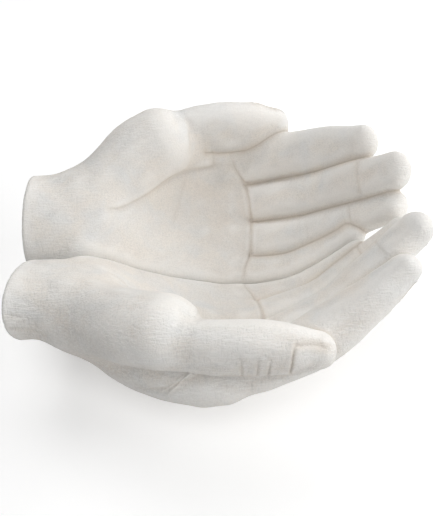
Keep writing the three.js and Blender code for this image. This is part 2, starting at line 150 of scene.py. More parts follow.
# Hands: the forms
# Each hand was modelled as limbs: oval sections along a smooth path, with a half width, a depth to
# the palm side, a depth to the back and the way the palm side faces. The left hand is modelled.
WRIST = {
    "path": [(-132, 32, 59), (-99, 33, 58), (-74, 39, 56)],
    "half": [32.5, 31.5, 31.5], "palm": [24, 23, 23], "back": [24, 20, 20.5],
    "facing": [(0, -0.5, 0.87), (0, -0.45, 0.9)],
}
PALM = {
    "index": {
        "path": [(-74, 53, 63), (3, 86, 46)], "half": [15, 15], "palm": [13, 12.5], "back": [16, 11.5],
        "facing": [(0, -0.45, 0.9), (0, -0.55, 0.83)],
    },
    "middle": {
        "path": [(-74, 44, 58), (9, 62, 33)], "half": [15, 15], "palm": [13, 11.5], "back": [16, 16],
        "facing": [(0, -0.45, 0.9), (0, -0.5, 0.87)],
    },
    "ring": {
        "path": [(-74, 33, 54), (9, 39, 24)], "half": [15, 14], "palm": [13, 11.5], "back": [16, 16],
        "facing": [(0, -0.4, 0.92), (0, -0.42, 0.9)],
    },
    "little": {
        "path": [(-74, 23, 51), (7, 16, 16)], "half": [15, 14], "palm": [13, 11.5], "back": [16, 15],
        "facing": [(0, -0.3, 0.95), (0, -0.2, 0.98)],
    },
    "thumb_ball": {
        "path": [(-80, 51, 66), (-58, 62, 73.5), (-43, 72, 80.8), (-31.5, 77, 84.7)],
        "half": [17.5, 23, 24.8, 24.5], "palm": [18.5, 20.5, 20.5, 20.3], "back": [18.5, 20.5, 20.5, 20],
        "facing": [(0, -0.7, 0.7), (0, -0.6, 0.8)],
    },
    "hand_edge": {
        "path": [(-79, 14, 48), (-40, 12, 28), (-9, 11, 18)],
        "half": [17.5, 16, 14], "palm": [17.5, 16, 12.5], "back": [17.5, 16, 14],
        "facing": [(0, -0.3, 0.95), (0, -0.2, 0.98)],
    },
    "index_flank": {
        "path": [(-76, 52, 54), (-55, 66, 47), (-30, 80, 47.5), (-10, 86.5, 46)],
        "half": [11, 16, 16.5, 15], "palm": [11, 16, 16.5, 15], "back": [11, 16, 16.5, 15],
        "facing": [(0, -0.7, 0.7), (0, -0.7, 0.7)],
    },
    "thumb_web": {
        "path": [(-31, 76, 77), (-4, 84.5, 71.5), (14, 87.5, 69.5), (34, 87.5, 74), (50, 85, 79)],
        "half": [14, 13.5, 11, 8, 5], "palm": [9.5, 7.5, 6.5, 6, 5], "back": [10.5, 10, 9, 7, 5],
        "facing": [(0, -0.6, 0.8), (0, -0.6, 0.8)],
    },
    "finger_roots": {
        "path": [(19, 80, 55), (20, 58, 39), (20, 35, 28), (17, 12, 19)],
        "half": [8, 8], "palm": [7.5, 7.5], "back": [7.5, 7.5],
        "facing": [(0, -0.5, 0.87), (0, -0.3, 0.95)],
    },
}
SOLE = {
    "path": [(-62, 24, 40), (-32, 21, 25), (-3, 19, 19), (14, 17, 18)],
    "half": [20, 27, 28, 21], "palm": [8, 8, 8, 8], "back": [22, 26, 24, 19],
    "facing": [(0, -0.1, 1), (0, -0.1, 1)],
}
FINGERS = {
    "index": {
        "path": [(3, 86, 46), (24, 82.5, 54), (44, 77.5, 65.5), (65, 70, 77), (86, 61.5, 88), (102, 54, 97)],
        "half": [14, 15, 15.5, 15.5, 14.5, 12], "palm": [12.5, 11.5, 9], "back": [11.5, 15, 18.5, 14, 8.5],
        "facing": [(-0.2, -0.55, 0.8), (-0.4, -0.6, 0.65)],
    },
    "middle": {
        "path": [(9, 62, 33), (31, 58, 40), (50, 53.5, 48), (70, 48, 58.5), (94, 36, 79), (116, 25, 98)],
        "half": [14, 14, 14, 14.5, 14, 12.5], "palm": [12.5, 11.5, 9], "back": [16, 13.5, 9],
        "facing": [(-0.1, -0.5, 0.85), (-0.6, -0.3, 0.65)],
    },
    "ring": {
        "path": [(9, 39, 24), (30, 34, 27), (48, 31, 32), (67, 28, 40), (91, 20, 60), (115, 12, 80.5)],
        "half": [14, 13.5, 13.5, 13, 12.5, 11], "palm": [12.5, 11.5, 9], "back": [16, 13.5, 9],
        "facing": [(-0.1, -0.4, 0.9), (-0.65, -0.2, 0.65)],
    },
    "little": {
        "path": [(7, 16, 16), (26, 12, 17), (42, 11, 20), (58, 10, 26), (77, 9, 42), (92, 8, 59)],
        "half": [13, 13, 12.5, 12, 11, 9], "palm": [12.5, 10.5, 8.5], "back": [14, 12.5, 8.5],
        "facing": [(-0.1, -0.2, 0.97), (-0.7, -0.1, 0.7)],
    },
}
THUMB = {
    "path": [(-30, 80, 84), (-7, 88, 85), (16, 90.5, 85.5), (35, 92.5, 84.5), (48.5, 93.5, 83)],
    "half": [14, 17, 17.5, 16, 12], "palm": [11, 12, 13, 12.5, 10.5], "back": [15, 13, 13, 12, 9.5],
    "facing": [(0, -0.98, 0.1), (0, -0.98, 0.2)],
}
SECTION_SPACING = 6
# How square a section is: 2 is an oval
PALM_SQUARENESS = 2.0
FINGER_SQUARENESS = 2.5
# How softly the forms run into each other
BLEND = {"fingers": 3, "knuckles": 5, "palm": 8, "wrist": 14, "thumb": 6, "sole": 16}
# Distances past this one don't matter
FAR = 20.0


def curve_points(path, count):
    """Points at even shares of a smooth curve through the path's points."""
    path = np.asarray(path, float)
    padded = np.vstack([2 * path[0] - path[1], path, 2 * path[-1] - path[-2]])
    steps = np.linalg.norm(np.diff(padded, axis=0), axis=1) ** 0.5
    places = np.linspace(0, len(path) - 1, count)
    index = np.minimum(places.astype(int), len(path) - 2)
    share = (places - index)[:, None]
    before, start, end, after = (padded[index + shift] for shift in range(4))
    first, step, last = (steps[index + shift][:, None] for shift in range(3))
    leave = step * ((start - before) / first - (end - before) / (first + step) + (end - start) / step)
    arrive = step * ((end - start) / step - (after - start) / (step + last) + (after - end) / last)
    bend = 3 * (end - start) - 2 * leave - arrive
    twist = 2 * (start - end) + leave + arrive
    return start + leave * share + bend * share ** 2 + twist * share ** 3


def unit(vectors):
    return vectors / np.linalg.norm(vectors, axis=-1, keepdims=True)


def smooth_values(values, shares):
    """Values at shares of the way along an evenly spaced list, on a smooth curve through it."""
    padded = np.pad(np.asarray(values, float), 1, mode="edge")
    index = np.minimum((shares * (len(values) - 1)).astype(int), len(values) - 2)
    share = shares * (len(values) - 1) - index
    before, start, end, after = (padded[index + shift] for shift in range(4))
    leave, arrive = (end - before) / 2, (after - start) / 2
    bend = 3 * (end - start) - 2 * leave - arrive
    twist = 2 * (start - end) + leave + arrive
    return start + leave * share + bend * share ** 2 + twist * share ** 3


def sections_of(form):
    """Evenly shared sections along a limb: points, half widths, palm and back depths, facings."""
    fine = curve_points(form["path"], 201)
    count = math.ceil(np.linalg.norm(np.diff(fine, axis=0), axis=1).sum() / SECTION_SPACING) + 1
    shares = np.linspace(0, 1, count)
    sizes = [smooth_values(form[key], shares) for key in ("half", "palm", "back")]
    first, last = (np.array(facing, float) for facing in form["facing"])
    facings = first + (last - first) * shares[:, None]
    return curve_points(form["path"], count), *sizes, facings


def limb_of(form, squareness):
    """A limb's sections, with the directions along, towards the palm side and sideways at each."""
    points, half, palm, back, facings = sections_of(form)
    padded = np.vstack([points[:1], points, points[-1:]])
    along = unit(padded[2:] - padded[:-2])
    palmward = unit(facings - along * (facings * along).sum(axis=1, keepdims=True))
    return {"points": points, "along": along, "palmward": palmward, "sideways": np.cross(along, palmward),
            "half": half, "palm": palm, "back": back, "squareness": squareness}


def section_distance(across, up, over, half, depth, cap, power):
    """Distance to a section's outline from shares of its half width, its depth and its end's length."""
    if power == 2:
        oval = np.hypot(across, up)
        slope = np.hypot(across / half, up / depth)
    else:
        oval = np.maximum(across ** power + up ** power, 1e-9) ** (1 / power)
        slope = oval ** (2 - power) * np.hypot(across ** (power - 1) / half, up ** (power - 1) / depth)
    ratio = np.hypot(oval, over)
    return ratio * (ratio - 1) / np.maximum(np.hypot(slope, over / cap), 1e-6)


def limb_distance(limb, points):
    """Distance to a limb's surface, less than zero inside. Each point belongs to one stretch of it."""
    nearest = np.full(points.shape[1], FAR)
    last = len(limb["points"]) - 2
    widest = max(limb[key].max() for key in ("half", "palm", "back"))
    for i in range(last + 1):
        start, end = limb["points"][i], limb["points"][i + 1]
        room = np.linalg.norm(end - start) / 2 + widest + FAR
        close = np.flatnonzero(np.abs(points - ((start + end) / 2)[:, None]).max(axis=0) < room)
        after = limb["along"][i] @ (points[:, close] - start[:, None])
        before = limb["along"][i + 1] @ (end[:, None] - points[:, close])
        own = ((after >= 0) | (i == 0)) & ((before >= 0) | (i == last))
        close, after, before = close[own], after[own], before[own]
        share = np.clip(after / np.maximum(after + before, 1e-3), 0, 1)
        past = np.minimum(after, 0) + np.maximum(-before, 0)
        offset = points[:, close] - start[:, None] - (end - start)[:, None] * share
        rise, side = (limb[key][i] @ offset + (limb[key][i + 1] - limb[key][i]) @ offset * share
                      for key in ("palmward", "sideways"))
        half, palm, back = (limb[key][i] + (limb[key][i + 1] - limb[key][i]) * share
                            for key in ("half", "palm", "back"))
        depth = np.where(rise > 0, palm, back)
        cap = (half + palm) / 2
        distance = section_distance(np.abs(side) / half, np.abs(rise) / depth, past / cap,
                                    half, depth, cap, limb["squareness"])
        nearest[close] = np.minimum(nearest[close], distance)
    return nearest


def soft_min(a, b, softness):
    """Smaller of two distances, rounded off by a quarter of the softness where they are equal."""
    share = np.clip(1 - np.abs(a - b) / (1.5 * softness), 0, 1)
    return np.minimum(a, b) - share ** 3 * softness / 4


wrist_limb = limb_of(WRIST, PALM_SQUARENESS)
sole_limb = limb_of(SOLE, PALM_SQUARENESS)
palm_limbs = [limb_of(form, PALM_SQUARENESS) for form in PALM.values()]
finger_limbs = [limb_of(form, FINGER_SQUARENESS) for form in FINGERS.values()]
thumb_limb = limb_of(THUMB, FINGER_SQUARENESS)


def hand_distance(points):
    """Distance to the untrimmed left hand, and to its palm and each of its fingers."""
    palm = np.full(points.shape[1], FAR)
    for limb in palm_limbs:
        palm = soft_min(palm, limb_distance(limb, points), BLEND["palm"])
    palm = soft_min(palm, limb_distance(wrist_limb, points), BLEND["wrist"])
    palm = soft_min(palm, limb_distance(sole_limb, points), BLEND["sole"])
    each = [limb_distance(limb, points) for limb in finger_limbs]
    fingers = each[0]
    for finger in each[1:]:
        fingers = soft_min(fingers, finger, BLEND["fingers"])
    hand = soft_min(palm, fingers, BLEND["knuckles"])
    thumb = limb_distance(thumb_limb, points)
    return soft_min(hand, thumb, BLEND["thumb"]), palm, each, thumb


# Hands: trimming
# The raw castings were sawn flat at the seam, under the base and across each wrist, and the edges
# were then rubbed down a little.
SKIN = 0.4
SEAM_FACE = 0.2
SEAM_ROUNDING = 4.0
BASE_ROUNDING = 2.0
WRIST_ROUNDING = 2.0
WRIST_CUTS = {
    "left": {"reach": 117.5, "lean_down": 1, "lean_outward": -4},
    "right": {"reach": 112, "lean_down": 12, "lean_outward": 9},
}


def trimmed(distance, points, cut):
    """Distance to the casting: the hand's distance cut by the seam, base and wrist planes."""
    down, outward = math.radians(cut["lean_down"]), math.radians(cut["lean_outward"])
    square = np.array([math.cos(down) * math.cos(outward), math.cos(down) * math.sin(outward),
                       math.sin(down)])
    wrist = np.array([-cut["reach"], WRIST["path"][0][1], WRIST["path"][0][2]])
    distance = -soft_min(-(distance + SKIN), points[1] - SEAM_FACE, SEAM_ROUNDING)
    distance = -soft_min(-distance, points[2], BASE_ROUNDING)
    return -soft_min(-distance, square @ (points - wrist[:, None]), WRIST_ROUNDING)


# Hands: the surface
# Plaster moulds keep the sculptor's smooth skin. A fine grid finds the skin here, and its facets
# are then evened out on the true surface.
CELL = 1.5
COARSE = 4
BAND = 6.5
GRID_START = np.array([-129.0, -6.0, -6.0])
# How strongly the facets are evened out, and how often: at first, and after each finer step
FIRST_EVENING = (0.5, 3)
FINER_EVENING = (0.3, 1)


def hand_grid():
    """Grid axes and hand distances: exact near the surface, and only in or out elsewhere."""
    forms = [WRIST, SOLE, THUMB, *PALM.values(), *FINGERS.values()]
    spots = np.concatenate([form["path"] for form in forms]).astype(float)
    counts = np.ceil((spots.max(axis=0) + FAR - GRID_START) / (CELL * COARSE)).astype(int)
    coarse_axes = [GRID_START[i] + CELL * COARSE * np.arange(counts[i]) for i in range(3)]
    coarse_points = np.array(np.meshgrid(*coarse_axes, indexing="ij")).reshape(3, -1)
    values = hand_distance(coarse_points)[0].reshape(counts)
    for axis in range(3):
        values = values.repeat(COARSE, axis)
    start = GRID_START - CELL * (COARSE - 1) / 2
    axes = [start[i] + CELL * np.arange(values.shape[i]) for i in range(3)]
    near = np.flatnonzero(np.abs(values.ravel()) < BAND)
    places = np.unravel_index(near, values.shape)
    points = np.array([axes[i][places[i]] for i in range(3)])
    values.ravel()[near] = hand_distance(points)[0]
    return axes, values


def corner_view(array, steps):
    """The array as one corner of its cells sees it; a step is 0 or 1, or None along a flat axis."""
    return array[tuple(slice(None) if step is None else slice(step, size - 1 + step)
                       for step, size in zip(steps, array.shape))]


CUBE = [(i, j, k) for i in (0, 1) for j in (0, 1) for k in (0, 1)]
SQUARES = [[(None, 0, 0), (None, 1, 0), (None, 1, 1), (None, 0, 1)],
           [(0, None, 0), (1, None, 0), (1, None, 1), (0, None, 1)],
           [(0, 0, None), (1, 0, None), (1, 1, None), (0, 1, None)]]


def fill_pinches(values):
    """Fills grid points that touch the inside only across a diagonal, so that the skin never pinches."""
    while True:
        inside = values < 0
        fill = np.zeros_like(inside)
        for square in SQUARES:
            a, b, c, d = (corner_view(inside, steps) for steps in square)
            pinch = (a == c) & (b == d) & (a != b)
            for steps in square:
                corner_view(fill, steps)[pinch] = True
        filled = sum(corner_view(inside, steps).astype(np.int8) for steps in CUBE)
        for near, far in zip(CUBE[:4], CUBE[:3:-1]):
            one, other = corner_view(inside, near), corner_view(inside, far)
            pinch = (one == other) & (filled == np.where(one, 2, 6))
            for steps in CUBE:
                corner_view(fill, steps)[pinch] = True
        fill &= ~inside
        if not fill.any():
            return
        values[fill] = -1e-3


def grid_surface(axes, values):
    """Vertices and triangles where the grid's values change sign, one vertex to a crossed cell."""
    values = np.where(values == 0, 1e-6, values)
    fill_pinches(values)
    inside = sum((corner_view(values, steps) < 0).astype(np.int8) for steps in CUBE)
    cells = np.argwhere((inside > 0) & (inside < 8))
    number = np.full(inside.shape, -1)
    number[tuple(cells.T)] = np.arange(len(cells))
    at_corner = [values[tuple((cells + corner).T)] for corner in CUBE]
    total = np.zeros((len(cells), 3))
    crossings = np.zeros(len(cells))
    for a in range(8):
        for b in range(a + 1, 8):
            if sum(x != y for x, y in zip(CUBE[a], CUBE[b])) != 1:
                continue
            crossed = (at_corner[a] < 0) != (at_corner[b] < 0)
            share = np.where(crossed, at_corner[a] / np.where(crossed, at_corner[a] - at_corner[b], 1), 0)
            spot = np.array(CUBE[a]) + np.subtract(CUBE[b], CUBE[a]) * share[:, None]
            total += spot * crossed[:, None]
            crossings += crossed
    start = np.array([axis[0] for axis in axes])
    vertices = (cells + total / crossings[:, None]) * CELL + start
    quads = []
    for axis in range(3):
        u, v = (axis + 1) % 3, (axis + 2) % 3
        low = np.moveaxis(values, axis, 0)[:-1] < 0
        high = np.moveaxis(values, axis, 0)[1:] < 0
        edges = np.argwhere(low != high)
        leaving = low[tuple(edges.T)]
        place = np.empty_like(edges)
        rest = [other for other in range(3) if other != axis]
        place[:, axis], place[:, rest[0]], place[:, rest[1]] = edges.T
        ring = []
        for step_u, step_v in ((1, 1), (0, 1), (0, 0), (1, 0)):
            cell = place.copy()
            cell[:, u] -= step_u
            cell[:, v] -= step_v
            ring.append(number[tuple(cell.T)])
        ring = np.array(ring).T
        ring[~leaving] = ring[~leaving][:, ::-1]
        quads.append(ring)
    return vertices, split_quads(vertices, np.concatenate(quads))


def split_quads(vertices, quads):
    """Two triangles for each quad, split across its shorter diagonal."""
    a, b, c, d = (vertices[quads[:, corner]] for corner in range(4))
    short = (np.linalg.norm(a - c, axis=1) <= np.linalg.norm(b - d, axis=1))[:, None]
    first = np.where(short, quads[:, [0, 1, 2]], quads[:, [0, 1, 3]])
    second = np.where(short, quads[:, [0, 2, 3]], quads[:, [1, 2, 3]])
    return np.concatenate([first, second])


def vertex_sums(triangles, count, values):
    """Sum over each vertex's triangles of a three-part value per triangle."""
    corners = triangles.ravel()
    return np.array([np.bincount(corners, np.repeat(part, 3), count) for part in values.T]).T


def normals_of(vertices, triangles):
    a, b, c = (vertices[triangles[:, corner]] for corner in range(3))
    return unit(vertex_sums(triangles, len(vertices), np.cross(b - a, c - a)))


def neighbour_mean(triangles, values):
    """Mean of each vertex's neighbours, for values with one row per vertex."""
    ends = triangles[:, [0, 1, 2]].ravel(), triangles[:, [1, 2, 0]].ravel()
    count = len(values)
    total = np.array([np.bincount(ends[0], part[ends[1]], count) for part in values.T]).T
    return total / np.bincount(ends[0], minlength=count)[:, None]


def casting_distance(vertices, cut):
    points = vertices.T
    return trimmed(hand_distance(points)[0], points, cut)


def settle(vertices, triangles, cut, pull, rounds):
    """Evens out the facets, then moves each vertex along its normal to the true surface."""
    for _ in range(rounds):
        vertices = vertices + (neighbour_mean(triangles, vertices) - vertices) * pull
        step = np.clip(casting_distance(vertices, cut), -CELL / 2, CELL / 2)
        vertices = vertices - normals_of(vertices, triangles) * step[:, None]
    return vertices


grid_axes, raw_values = hand_grid()
grid_points = np.array(np.meshgrid(*grid_axes, indexing="ij")).reshape(3, -1)


# Hands: creases, folds and nails
# The sculptor pressed the finger joints, palm lines and web folds into the clay with a thin tool,
# which left a narrow groove between slightly raised lips, and modelled a nail on every fingertip.

# A line has a few points near the surface, a depth and a half width
FINGER_ROOTS = {"path": [(16, 77, 73), (20, 73, 63), (27, 66, 54), (29, 53, 50), (30, 42, 41),
                         (29, 30, 37), (28, 20, 30), (23, 8, 28), (22, 1, 28)], "depth": 0.8, "width": 1.2}
BALL_LINE = {"path": [(-67, 25.5, 75), (-58.5, 28, 72.5), (-50, 35.5, 69.5), (-41, 44.5, 66.5),
                      (-32, 52.7, 66.6), (-24, 57.8, 70.6), (-17, 65.8, 71.2)],
             "depth": 0.7, "width": 1.8}
LINES = [
    FINGER_ROOTS,
    BALL_LINE,
    # Lines of the palm
    {"path": [(-14, 67.7, 60), (-18.4, 56.2, 55), (-22.3, 43.4, 51), (-25.4, 31, 48.6)],
     "depth": 0.35, "width": 1.2},
    {"path": [(3, 35, 39), (12, 44, 38), (22, 48, 44)], "depth": 0.15, "width": 1.6},
    {"path": [(4, 35, 38), (-2, 25, 36), (-6, 16, 36)], "depth": 0.1, "width": 1.6},
    # Fold under the root of the index finger
    {"path": [(5.3, 77.1, 76.5), (5.2, 76.5, 69.8), (5.8, 75.3, 61.6)], "depth": 0.5, "width": 2.2},
    # Folds across the wrist
    {"path": [(-117, 61, 71), (-111, 61, 70), (-105, 62, 69.5), (-94, 67, 69)], "depth": 0.3, "width": 1.0},
    {"path": [(-116, 57, 78), (-108, 58, 76)], "depth": 0.25, "width": 1.0},
    # Ridges of the web between thumb and hand
    {"path": [(-15.5, 90.5, 64.5), (-18.7, 92, 62.2), (-22.7, 94.2, 59), (-26, 96, 56), (-31, 97, 50.5)],
     "depth": -1.1, "width": 1.3},
    {"path": [(-20.5, 91, 63), (-25, 93.5, 59), (-30, 95, 55), (-36, 95.3, 50.5)],
     "depth": -0.9, "width": 1.3},
]
# A form that overlaps its neighbour ends in a soft step, which falls in the given direction
STEPS = [
    # The ball of the thumb, over the thumb's root
    {"path": [(-18, 82, 104), (-12, 78.5, 101), (-9.5, 74, 97), (-9, 70, 92), (-9.5, 67, 86)],
     "depth": 0.8, "falls": (1, 0, 0)},
    # The ball of the thumb, over the palm
    {"path": BALL_LINE["path"], "depth": 0.8, "falls": (0.5, -0.7, -0.5)},
    # The thumb's root, over the back of the hand
    {"path": [(-8, 97, 73), (-11.6, 93.5, 65), (-17, 93, 61.5), (-24, 94, 59), (-31, 94.5, 56),
              (-39.4, 93, 52.2), (-47, 90, 48)], "depth": 0.9, "falls": (0.5, 0.3, -0.8)},
]
# A step rises a little before its edge and drops behind it, each within a reach
STEP_RISE = 0.3
STEP_DROP = 1.1
STEP_REACH = (6.0, 4.5)
STEP_EDGE = 1.8
STEP_ROOM = 14.0
# Strength and reach of the beige painted shade on the low side of a step
STEP_SHADE = 0.5
STEP_SHADE_REACH = 2.5
# A line runs out over this share of its length at both ends, if it has no taper of its own. Reaches
# beside it are in half widths of it, and a lip's height is a share of its depth.
LINE_TAPER = 0.2
LINE_ROOM = 4
LIP_SHARE = 0.3
LIP_REACH = 2.0
LIP_WIDTH = 0.8
# Painted shade along a line: beige beside it and dark along its bottom, each as a strength and a reach
LINE_SHADE = 0.7
LINE_SHADE_REACH = 2
LINE_GROOVE_SHADE = 0.7
LINE_GROOVE_SHADE_REACH = 0.55
# How evenly a line's depth runs out along it, and how sharp its bottom is
RUN_OUT = 0.7
GROOVE_SHARPNESS = 1.4
SAMPLE_SPACING = 0.5
SNAP_ROUNDS = 4
SNAP_PROBE = 0.2


def snapped(spots):
    """Moves points near the hand onto its surface."""
    shifts = np.vstack([np.zeros(3), np.eye(3) * SNAP_PROBE])
    for _ in range(SNAP_ROUNDS):
        around = (spots[None] + shifts[:, None]).reshape(-1, 3)
        values = hand_distance(around.T)[0].reshape(4, -1) + SKIN
        slope = (values[1:] - values[0]).T / SNAP_PROBE
        spots = spots - slope * (values[0] / np.maximum((slope ** 2).sum(axis=1), 0.3))[:, None]
    return spots


def line_samples(line):
    """Close points along a line on the hand, with the depth at each, which runs out at both ends."""
    rough = curve_points(line["path"], 200)
    length = np.linalg.norm(np.diff(rough, axis=0), axis=1).sum()
    count = max(int(length / SAMPLE_SPACING), 4)
    spots = snapped(curve_points(line["path"], count))
    from_end = np.minimum(np.linspace(0, 1, count), np.linspace(1, 0, count))
    return spots, line["depth"] * np.clip(from_end / line.get("taper", LINE_TAPER), 0, 1) ** RUN_OUT


def distance_to_line(points, spots):
    """Distance from each point to the nearest of a line's spots, and that spot's number."""
    best = np.full(len(points), np.inf)
    which = np.zeros(len(points), int)
    for number, spot in enumerate(spots):
        apart = ((points - spot) ** 2).sum(axis=1)
        closer = apart < best
        best[closer] = apart[closer]
        which[closer] = number
    return np.sqrt(best), which


def groove(share):
    """Depth of a pressed line, from 1 at its middle to 0 at its half width."""
    return np.clip(1 - share, 0, 1) ** GROOVE_SHARPNESS


# A line across a limb ends in a longer taper, and its limb's direction is taken over this share
ACROSS_TAPER = 0.3
AXIS_SHARE = 0.05


def line_across(form, share, first_angle, last_angle, width, depth, slant=0.0):
    """A line round a limb at a share of its length. Angle 0 is the palm side and 180 the back."""
    points, *sizes, facings = sections_of(form)
    shares = np.linspace(0, 1, len(points))
    centre, before, after = (np.array([np.interp(at, shares, part) for part in points.T])
                             for at in (share, share - AXIS_SHARE, share + AXIS_SHARE))
    half, palm, back = (np.interp(share, shares, size) for size in sizes)
    axis = unit(after - before)
    facing = facings[0] + (facings[-1] - facings[0]) * share
    palmward = unit(facing - axis * (facing @ axis))
    angles = np.radians(np.linspace(first_angle, last_angle, 9))[:, None]
    deep = np.where(np.cos(angles) > 0, palm, back)
    spots = (centre + np.cos(angles) * deep * palmward + np.sin(angles) * half * np.cross(axis, palmward)
             + slant * np.sin(angles) * axis)
    return {"path": spots, "depth": depth, "width": width, "taper": ACROSS_TAPER}


# Shares of each finger's length at its middle and end joints, and the depth of the end joint's line
JOINTS = {"index": (0.58, 0.83, 0), "middle": (0.64, 0.86, 0.3), "ring": (0.64, 0.84, 0.55),
          "little": (0.6, 0.82, 0)}
# First and last angle and half width of the lines at these joints, and of the wrinkles behind them
END_LINE = (-60, 60, 1.1)
KNUCKLE_WRINKLES = (150, 210, 0.9)
KNUCKLE_DEPTH = 0.18
KNUCKLE_SHIFT = -0.06
KNUCKLE_STEPS = (-0.035, 0, 0.035)
KNUCKLE_FAN = 20
END_WRINKLES = (155, 205, 0.8)
END_DEPTH = 0.15
END_STEPS = (-0.012, 0.012)
for name, (middle_joint, end_joint, depth) in JOINTS.items():
    form = FINGERS[name]
    if depth:
        LINES.append(line_across(form, end_joint, *END_LINE, depth))
    for step in KNUCKLE_STEPS:
        LINES.append(line_across(form, middle_joint + KNUCKLE_SHIFT + step, *KNUCKLE_WRINKLES, KNUCKLE_DEPTH,
                                 slant=KNUCKLE_FAN * step))
    for step in END_STEPS:
        LINES.append(line_across(form, end_joint + step, *END_WRINKLES, END_DEPTH))
# The thumb's joint, on its outer side: shares of the thumb's length with depths, then angles and width
THUMB_WRINKLES = ((0.435, 0.6), (0.535, 0.7), (0.61, 0.6))
THUMB_WRINKLE_SPAN = (120, 216, 1.0)
THUMB_WRINKLE_SLANT = 0.5
for share, depth in THUMB_WRINKLES:
    LINES.append(line_across(THUMB, share, *THUMB_WRINKLE_SPAN, depth, slant=THUMB_WRINKLE_SLANT))

lines = [(*line_samples(line), line["width"]) for line in LINES]
steps = [(*line_samples(step), unit(np.array(step["falls"], float))) for step in STEPS]

# Neighbouring fingers, and the thumb and the hand, are pressed together along a deeper line
BETWEEN_DEPTH = 0.5
BETWEEN_WIDTH = 1.1
# How far the beige painted shade, and the dark painted shade along the bottom, reach from that line
BETWEEN_SHADE_REACH = 2.6
BETWEEN_GROOVE_SHADE_REACH = 0.8
# Two forms count as neighbours where both are nearer than this
NEIGHBOURS = 5
# How deep and wide the soft hollow on both sides of that line is
HOLLOW_DEPTH = 0.15
HOLLOW_WIDTH = 4.0
# How far along the hand the line under the thumb starts
THUMB_LEAVES_HAND = 0.0
# Where two fingers part, the tool's tip left a small pit
WEB_PITS = [(28.6, 64.6, 54.8), (30, 42, 41), (28, 20, 30)]
PIT_DEPTH = 0.8
PIT_RADIUS = 1.3
web_pits = snapped(np.array(WEB_PITS, float))
# Nails: share of the digit's length at the middle of the nail, its length and its width, then in
# degrees its turn round the digit and how far its root and its sides lean
NAILS = {"index": (0.95, 14, 17, 0, 0, 0), "middle": (0.95, 15, 17, 0, 0, 0),
         "ring": (0.95, 14, 16, 0, 0, 0), "little": (0.94, 12, 13, 0, 0, 0)}
THUMB_NAIL = (0.965, 23, 22, 12, -6, -13)
NAIL_SQUARENESS = 8
NAIL_WRAP = 0.8
NAIL_ROOM = 6
# A nail stands up over its bed, more so from the share where its free end starts
NAIL_RISE = 0.3
NAIL_BEVEL = 0.5
FREE_END = 0.45
FREE_END_GROWS = 0.35
# The fold round a nail, with a lip outside it
NAIL_FOLD = 0.6
FOLD_WIDTH = 0.55
FOLD_LIP = 0.3
FOLD_LIP_REACH = 1.3
FOLD_LIP_WIDTH = 0.8
# Painted shade in and round the fold: beige out to a reach, and darker along the fold
FOLD_SHADE = 0.6
FOLD_SHADE_REACH = 1.5
FOLD_GROOVE_SHADE = 0.5
# A nail's direction is that of its digit over this share of the length
NAIL_AXIS_SHARE = 0.1


def leaning(one, other, angle):
    """The first direction, leant towards the second by an angle in degrees."""
    return math.cos(math.radians(angle)) * one + math.sin(math.radians(angle)) * other


def nail_frame(form, share, length, width, turn, root_lean, side_lean):
    """Middle of a nail, its directions along and across, the way it faces, and half its size."""
    points, *sizes, facings = sections_of(form)
    shares = np.linspace(0, 1, len(points))
    centre, before = (np.array([np.interp(at, shares, part) for part in points.T])
                      for at in (share, share - NAIL_AXIS_SHARE))
    axis = unit(centre - before)
    facing = facings[0] + (facings[-1] - facings[0]) * share
    back = -unit(facing - axis * (facing @ axis))
    outward = leaning(back, np.cross(axis, back), turn)
    across = np.cross(outward, axis)
    spot = centre + outward * np.interp(share, shares, sizes[2])
    along, sideways = leaning(axis, across, root_lean), leaning(across, axis, side_lean)
    return spot, along, sideways, outward, length / 2, width / 2


nails = [nail_frame(FINGERS[name], *sizes) for name, sizes in NAILS.items()]
nails.append(nail_frame(THUMB, *THUMB_NAIL))


def nail_edge(vertices, nail):
    """How far outside a nail's rim each vertex lies, and how far towards its free end, from -1 to 1."""
    spot, axis, across, outward, half_length, half_width = nail
    offset = vertices - spot
    reach = offset @ axis / half_length
    beside = offset @ across / half_width
    ratio = (np.abs(reach) ** NAIL_SQUARENESS + np.abs(beside) ** NAIL_SQUARENESS) ** (1 / NAIL_SQUARENESS)
    on_back = offset @ outward > -NAIL_WRAP * half_width
    return np.where(on_back, (ratio - 1) * half_width, FAR), reach


def between_fingers(vertices):
    """How far each vertex is from the line between two fingers, or between thumb and hand."""
    _, palm, each, thumb = hand_distance(vertices.T)
    roots = np.array(FINGER_ROOTS["path"][::-1], float)
    short = np.clip(np.interp(vertices[:, 1], roots[:, 1], roots[:, 0]) - vertices[:, 0], 0, None)
    nearest = np.full(len(vertices), FAR)
    for one, other in zip(each, each[1:]):
        apart = np.abs(one - other) + short
        nearest = np.where(np.maximum(one, other) < NEIGHBOURS, np.minimum(nearest, apart), nearest)
    hand = np.minimum(palm, each[0])
    apart = np.abs(thumb - hand) + np.clip(THUMB_LEAVES_HAND - vertices[:, 0], 0, None)
    return np.where(np.maximum(thumb, hand) < NEIGHBOURS, np.minimum(nearest, apart), nearest)


